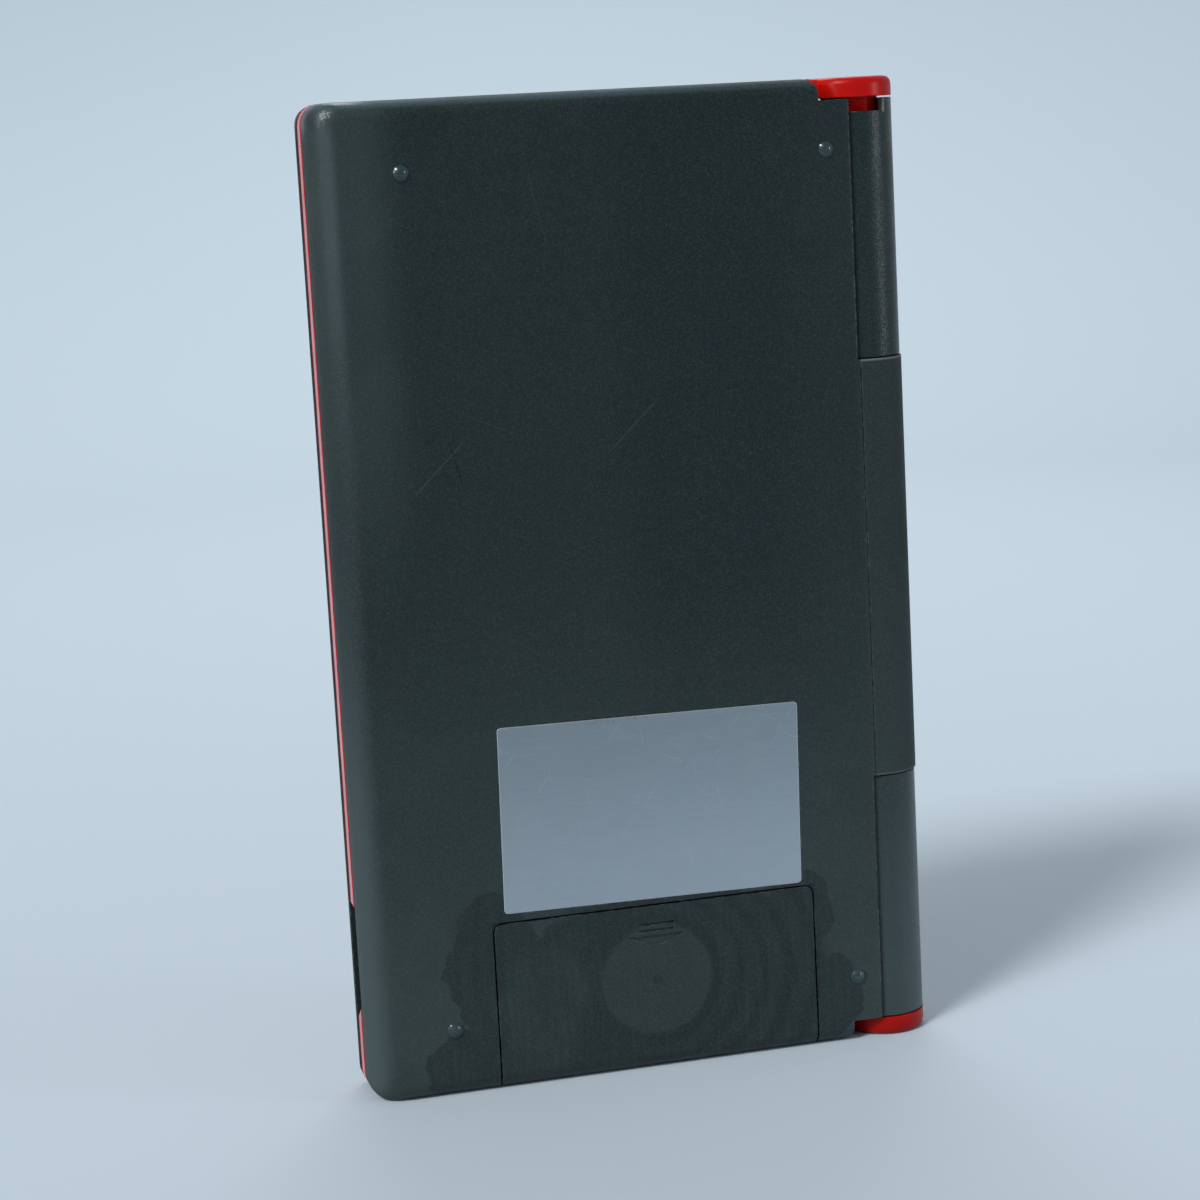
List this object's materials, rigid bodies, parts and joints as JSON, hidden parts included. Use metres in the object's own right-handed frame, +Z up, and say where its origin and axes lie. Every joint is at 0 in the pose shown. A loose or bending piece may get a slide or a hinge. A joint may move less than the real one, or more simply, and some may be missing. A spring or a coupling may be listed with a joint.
{
  "type": "electronic dictionary",
  "caption": "Pocket electronic dictionary that opens like a book on a full-length barrel hinge, with keys and display inside and a sliding battery door in its back.",
  "frame": {"origin": "centre of the bottom edge face, under the middle of the closed device as it stands upright", "axes": "+Z up along the device's height; the back cover with the battery door faces +Y and the lid faces -Y; the hinge barrel runs along Z on the -X side and the free edge with the thumb scoop is on the +X side"},
  "size_m": [0.1032, 0.0156, 0.17],
  "materials": {
    "cover_paint": "satin dark grey-green paint with fine metallic flake, on plastic",
    "lid_paint": "satin dark grey-green paint with fine metallic flake, on plastic",
    "frame_red": "glossy red",
    "label_foil": "bare silver foil",
    "deck_plastic": "fine matt grain",
    "liner_plastic": "fine matt grain",
    "key_plastic": null,
    "lens": "clear",
    "lcd_glass": "grey-green reflective display",
    "rubber": "translucent grey silicone",
    "board": "green solder mask",
    "chip_black": "moulded epoxy",
    "cell_steel": "nickel plated",
    "steel": "zinc plated",
    "brass": "bare brass"
  },
  "bodies": {
    "root": {"rear_cover": "cover_paint", "mid_frame": "frame_red", "hinge_pin": "steel", "label": "label_foil", "key_deck": "deck_plastic", "display_window": "lens", "lcd_panel": "lcd_glass", "lcd_connector": "rubber", "key_mat": "rubber", "circuit_board": "board", "main_chip": "chip_black", "rom_chip": "chip_black", "cell_1": "cell_steel", "cell_2": "cell_steel", "contact_1": "brass", "contact_2": "brass", "contact_bridge": "brass", "sound_disc": "brass", "screw_1": "steel", "screw_2": "steel", "screw_3": "steel", "screw_4": "steel"},
    "lid": {"lid_shell": "lid_paint", "lid_liner": "liner_plastic"},
    "door": {"battery_door": "cover_paint"},
    "key_on_body": {"key_on": "key_plastic"},
    "key_off_body": {"key_off": "key_plastic"},
    "key_clear_body": {"key_clear": "key_plastic"},
    "key_language_body": {"key_language": "key_plastic"},
    "key_up_body": {"key_up": "key_plastic"},
    "key_down_body": {"key_down": "key_plastic"},
    "key_a_body": {"key_a": "key_plastic"},
    "key_b_body": {"key_b": "key_plastic"},
    "key_c_body": {"key_c": "key_plastic"},
    "key_d_body": {"key_d": "key_plastic"},
    "key_e_body": {"key_e": "key_plastic"},
    "key_f_body": {"key_f": "key_plastic"},
    "key_g_body": {"key_g": "key_plastic"},
    "key_h_body": {"key_h": "key_plastic"},
    "key_i_body": {"key_i": "key_plastic"},
    "key_j_body": {"key_j": "key_plastic"},
    "key_k_body": {"key_k": "key_plastic"},
    "key_l_body": {"key_l": "key_plastic"},
    "key_m_body": {"key_m": "key_plastic"},
    "key_n_body": {"key_n": "key_plastic"},
    "key_o_body": {"key_o": "key_plastic"},
    "key_p_body": {"key_p": "key_plastic"},
    "key_q_body": {"key_q": "key_plastic"},
    "key_r_body": {"key_r": "key_plastic"},
    "key_s_body": {"key_s": "key_plastic"},
    "key_t_body": {"key_t": "key_plastic"},
    "key_u_body": {"key_u": "key_plastic"},
    "key_v_body": {"key_v": "key_plastic"},
    "key_w_body": {"key_w": "key_plastic"},
    "key_x_body": {"key_x": "key_plastic"},
    "key_y_body": {"key_y": "key_plastic"},
    "key_z_body": {"key_z": "key_plastic"},
    "key_space_body": {"key_space": "key_plastic"},
    "key_delete_body": {"key_delete": "key_plastic"},
    "key_enter_body": {"key_enter": "key_plastic"}
  },
  "joints": [
    {"name": "lid_hinge", "type": "hinge", "parent": "root", "child": "lid", "pos_m": [-0.04405, -0.00028, 0], "axis": [0, 0, -1], "range_deg": [0, 180]},
    {"name": "door_slide", "type": "slide", "parent": "root", "child": "door", "axis": [0, 0, -1], "range_m": [0, 0.012]},
    {"name": "key_on_press", "type": "slide", "parent": "root", "child": "key_on_body", "axis": [0, 1, 0], "range_m": [0, 0.0008], "stiffness_N_per_m": 500, "springref_m": -0.0008},
    {"name": "key_off_press", "type": "slide", "parent": "root", "child": "key_off_body", "axis": [0, 1, 0], "range_m": [0, 0.0008], "stiffness_N_per_m": 500, "springref_m": -0.0008},
    {"name": "key_clear_press", "type": "slide", "parent": "root", "child": "key_clear_body", "axis": [0, 1, 0], "range_m": [0, 0.0008], "stiffness_N_per_m": 500, "springref_m": -0.0008},
    {"name": "key_language_press", "type": "slide", "parent": "root", "child": "key_language_body", "axis": [0, 1, 0], "range_m": [0, 0.0008], "stiffness_N_per_m": 500, "springref_m": -0.0008},
    {"name": "key_up_press", "type": "slide", "parent": "root", "child": "key_up_body", "axis": [0, 1, 0], "range_m": [0, 0.0008], "stiffness_N_per_m": 500, "springref_m": -0.0008},
    {"name": "key_down_press", "type": "slide", "parent": "root", "child": "key_down_body", "axis": [0, 1, 0], "range_m": [0, 0.0008], "stiffness_N_per_m": 500, "springref_m": -0.0008},
    {"name": "key_a_press", "type": "slide", "parent": "root", "child": "key_a_body", "axis": [0, 1, 0], "range_m": [0, 0.0008], "stiffness_N_per_m": 500, "springref_m": -0.0008},
    {"name": "key_b_press", "type": "slide", "parent": "root", "child": "key_b_body", "axis": [0, 1, 0], "range_m": [0, 0.0008], "stiffness_N_per_m": 500, "springref_m": -0.0008},
    {"name": "key_c_press", "type": "slide", "parent": "root", "child": "key_c_body", "axis": [0, 1, 0], "range_m": [0, 0.0008], "stiffness_N_per_m": 500, "springref_m": -0.0008},
    {"name": "key_d_press", "type": "slide", "parent": "root", "child": "key_d_body", "axis": [0, 1, 0], "range_m": [0, 0.0008], "stiffness_N_per_m": 500, "springref_m": -0.0008},
    {"name": "key_e_press", "type": "slide", "parent": "root", "child": "key_e_body", "axis": [0, 1, 0], "range_m": [0, 0.0008], "stiffness_N_per_m": 500, "springref_m": -0.0008},
    {"name": "key_f_press", "type": "slide", "parent": "root", "child": "key_f_body", "axis": [0, 1, 0], "range_m": [0, 0.0008], "stiffness_N_per_m": 500, "springref_m": -0.0008},
    {"name": "key_g_press", "type": "slide", "parent": "root", "child": "key_g_body", "axis": [0, 1, 0], "range_m": [0, 0.0008], "stiffness_N_per_m": 500, "springref_m": -0.0008},
    {"name": "key_h_press", "type": "slide", "parent": "root", "child": "key_h_body", "axis": [0, 1, 0], "range_m": [0, 0.0008], "stiffness_N_per_m": 500, "springref_m": -0.0008},
    {"name": "key_i_press", "type": "slide", "parent": "root", "child": "key_i_body", "axis": [0, 1, 0], "range_m": [0, 0.0008], "stiffness_N_per_m": 500, "springref_m": -0.0008},
    {"name": "key_j_press", "type": "slide", "parent": "root", "child": "key_j_body", "axis": [0, 1, 0], "range_m": [0, 0.0008], "stiffness_N_per_m": 500, "springref_m": -0.0008},
    {"name": "key_k_press", "type": "slide", "parent": "root", "child": "key_k_body", "axis": [0, 1, 0], "range_m": [0, 0.0008], "stiffness_N_per_m": 500, "springref_m": -0.0008},
    {"name": "key_l_press", "type": "slide", "parent": "root", "child": "key_l_body", "axis": [0, 1, 0], "range_m": [0, 0.0008], "stiffness_N_per_m": 500, "springref_m": -0.0008},
    {"name": "key_m_press", "type": "slide", "parent": "root", "child": "key_m_body", "axis": [0, 1, 0], "range_m": [0, 0.0008], "stiffness_N_per_m": 500, "springref_m": -0.0008},
    {"name": "key_n_press", "type": "slide", "parent": "root", "child": "key_n_body", "axis": [0, 1, 0], "range_m": [0, 0.0008], "stiffness_N_per_m": 500, "springref_m": -0.0008},
    {"name": "key_o_press", "type": "slide", "parent": "root", "child": "key_o_body", "axis": [0, 1, 0], "range_m": [0, 0.0008], "stiffness_N_per_m": 500, "springref_m": -0.0008},
    {"name": "key_p_press", "type": "slide", "parent": "root", "child": "key_p_body", "axis": [0, 1, 0], "range_m": [0, 0.0008], "stiffness_N_per_m": 500, "springref_m": -0.0008},
    {"name": "key_q_press", "type": "slide", "parent": "root", "child": "key_q_body", "axis": [0, 1, 0], "range_m": [0, 0.0008], "stiffness_N_per_m": 500, "springref_m": -0.0008},
    {"name": "key_r_press", "type": "slide", "parent": "root", "child": "key_r_body", "axis": [0, 1, 0], "range_m": [0, 0.0008], "stiffness_N_per_m": 500, "springref_m": -0.0008},
    {"name": "key_s_press", "type": "slide", "parent": "root", "child": "key_s_body", "axis": [0, 1, 0], "range_m": [0, 0.0008], "stiffness_N_per_m": 500, "springref_m": -0.0008},
    {"name": "key_t_press", "type": "slide", "parent": "root", "child": "key_t_body", "axis": [0, 1, 0], "range_m": [0, 0.0008], "stiffness_N_per_m": 500, "springref_m": -0.0008},
    {"name": "key_u_press", "type": "slide", "parent": "root", "child": "key_u_body", "axis": [0, 1, 0], "range_m": [0, 0.0008], "stiffness_N_per_m": 500, "springref_m": -0.0008},
    {"name": "key_v_press", "type": "slide", "parent": "root", "child": "key_v_body", "axis": [0, 1, 0], "range_m": [0, 0.0008], "stiffness_N_per_m": 500, "springref_m": -0.0008},
    {"name": "key_w_press", "type": "slide", "parent": "root", "child": "key_w_body", "axis": [0, 1, 0], "range_m": [0, 0.0008], "stiffness_N_per_m": 500, "springref_m": -0.0008},
    {"name": "key_x_press", "type": "slide", "parent": "root", "child": "key_x_body", "axis": [0, 1, 0], "range_m": [0, 0.0008], "stiffness_N_per_m": 500, "springref_m": -0.0008},
    {"name": "key_y_press", "type": "slide", "parent": "root", "child": "key_y_body", "axis": [0, 1, 0], "range_m": [0, 0.0008], "stiffness_N_per_m": 500, "springref_m": -0.0008},
    {"name": "key_z_press", "type": "slide", "parent": "root", "child": "key_z_body", "axis": [0, 1, 0], "range_m": [0, 0.0008], "stiffness_N_per_m": 500, "springref_m": -0.0008},
    {"name": "key_space_press", "type": "slide", "parent": "root", "child": "key_space_body", "axis": [0, 1, 0], "range_m": [0, 0.0008], "stiffness_N_per_m": 500, "springref_m": -0.0008},
    {"name": "key_delete_press", "type": "slide", "parent": "root", "child": "key_delete_body", "axis": [0, 1, 0], "range_m": [0, 0.0008], "stiffness_N_per_m": 500, "springref_m": -0.0008},
    {"name": "key_enter_press", "type": "slide", "parent": "root", "child": "key_enter_body", "axis": [0, 1, 0], "range_m": [0, 0.0008], "stiffness_N_per_m": 500, "springref_m": -0.0008}
  ]
}
